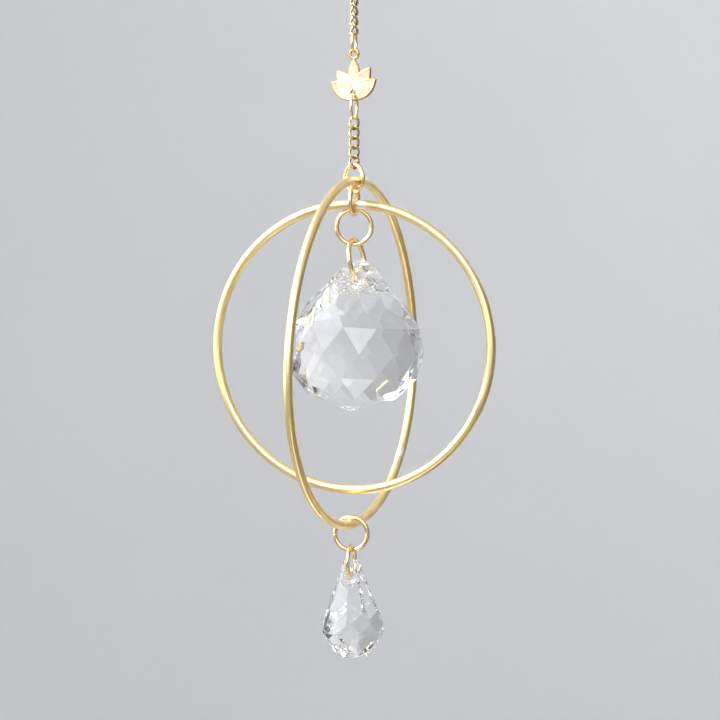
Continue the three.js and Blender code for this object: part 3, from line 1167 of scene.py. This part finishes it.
def dark_card(name, card, centre):
    """A dark card that faces the object."""
    station = card.station
    bm = bmesh.new()
    outward = direction(math.radians(station.azimuth), math.radians(station.elevation))
    facing = outward.to_track_quat("Z", "Y").to_matrix().to_4x4()
    size = Matrix.Diagonal((station.width, station.height, 1, 1))
    place = Matrix.Translation(station_place(station, centre)) @ facing @ size
    bmesh.ops.create_grid(bm, x_segments=1, y_segments=1, size=0.5, matrix=place)
    flag = make_object(bm, name)
    material = bpy.data.materials.new(name + "_cloth")
    material.use_nodes = True
    cloth = material.node_tree.nodes["Principled BSDF"]
    cloth.inputs["Base Color"].default_value = (*card.shade, 1.0)
    cloth.inputs["Roughness"].default_value = 1.0
    flag.data.materials.append(material)
    flag.visible_camera = False
    flag.visible_transmission = card.through_glass
    flag.visible_glossy = not card.through_glass
    flag.visible_shadow = False
    flag.visible_diffuse = False


def make_sky(studio):
    """Even, slightly blue light from the room's open top."""
    world = bpy.data.worlds.new("open_sky")
    world.use_nodes = True
    sky = world.node_tree.nodes["Background"]
    sky.inputs["Color"].default_value = (0.93, 0.96, 1.0, 1.0)
    sky.inputs["Strength"].default_value = studio.sky_glow
    bpy.context.scene.world = world


def make_camera(studio):
    """The camera, which looks just below and beside the small hoop's middle."""
    camera = bpy.data.cameras.new("camera")
    camera.lens = studio.lens
    camera.sensor_width = 36.0
    camera.clip_start = 0.01
    camera.clip_end = 20.0
    holder = bpy.data.objects.new("camera", camera)
    scene = bpy.context.scene
    scene.collection.objects.link(holder)
    beside = Vector((math.cos(studio.azimuth), math.sin(studio.azimuth), 0)) * studio.look_beside
    target = Vector((0, 0, node_middle("small_hoop").z - studio.look_below)) + beside
    outward = direction(studio.azimuth, studio.elevation)
    holder.location = target + outward * studio.distance
    holder.rotation_euler = outward.to_track_quat("Z", "Y").to_euler()
    scene.camera = holder


class SUNCATCHER_OT_stage(Operator):
    """Set the camera, the pale room and the soft light"""

    bl_idname = "suncatcher.stage"
    bl_label = "Stage"
    bl_options = {"REGISTER", "UNDO"}

    def execute(self, context):
        scene = context.scene
        studio = scene.suncatcher_studio
        make_camera(studio)
        paint = scene.suncatcher_finishes.wall
        make_room(radius=ROOM_RADIUS, floor=-1.3, cove=0.6, height=3.2, paint=paint)
        centre = (cad_box[0] + cad_box[1]) / 2
        light_object(centre, studio)
        light_wall(studio)
        for name, card in CARDS.items():
            dark_card(name, card, centre)
        make_sky(studio)
        scene.view_settings.view_transform = "Standard"
        # Light is turned back many times inside cut glass before it comes out.
        scene.cycles.max_bounces = 24
        scene.cycles.glossy_bounces = 16
        scene.cycles.transmission_bounces = 24
        return {"FINISHED"}


class SUNCATCHER_PT_panel(Panel):
    """Lists the suncatcher's pieces, sizes and finishes"""

    bl_idname = "SUNCATCHER_PT_panel"
    bl_label = "Crystal Suncatcher"
    bl_space_type = "VIEW_3D"
    bl_region_type = "UI"
    bl_category = "Suncatcher"

    def draw(self, context):
        layout = self.layout
        for operator in OPERATORS:
            layout.operator(operator.bl_idname)
        for name, kind in SETTINGS:
            box = layout.box()
            settings = getattr(context.scene, name)
            for label in kind.__annotations__:
                box.prop(settings, label)


SETTINGS = (
    ("suncatcher_wires", WireSizes),
    ("suncatcher_stones", StoneSizes),
    ("suncatcher_finishes", Finishes),
    ("suncatcher_studio", Studio),
)
OPERATORS = (
    SUNCATCHER_OT_stage,
    SUNCATCHER_OT_hoops,
    SUNCATCHER_OT_rings,
    SUNCATCHER_OT_chains,
    SUNCATCHER_OT_charm,
    SUNCATCHER_OT_stones,
)


def register():
    for name, kind in SETTINGS:
        bpy.utils.register_class(kind)
        setattr(bpy.types.Scene, name, PointerProperty(type=kind))
    for operator in OPERATORS:
        bpy.utils.register_class(operator)
    bpy.utils.register_class(SUNCATCHER_PT_panel)


def unregister():
    bpy.utils.unregister_class(SUNCATCHER_PT_panel)
    for operator in reversed(OPERATORS):
        bpy.utils.unregister_class(operator)
    for name, kind in reversed(SETTINGS):
        delattr(bpy.types.Scene, name)
        bpy.utils.unregister_class(kind)


def main():
    register()
    bpy.ops.suncatcher.stage()
    bpy.ops.suncatcher.hoops()
    bpy.ops.suncatcher.rings()
    bpy.ops.suncatcher.chains()
    bpy.ops.suncatcher.charm()
    bpy.ops.suncatcher.stones()


if __name__ == "__main__":
    main()
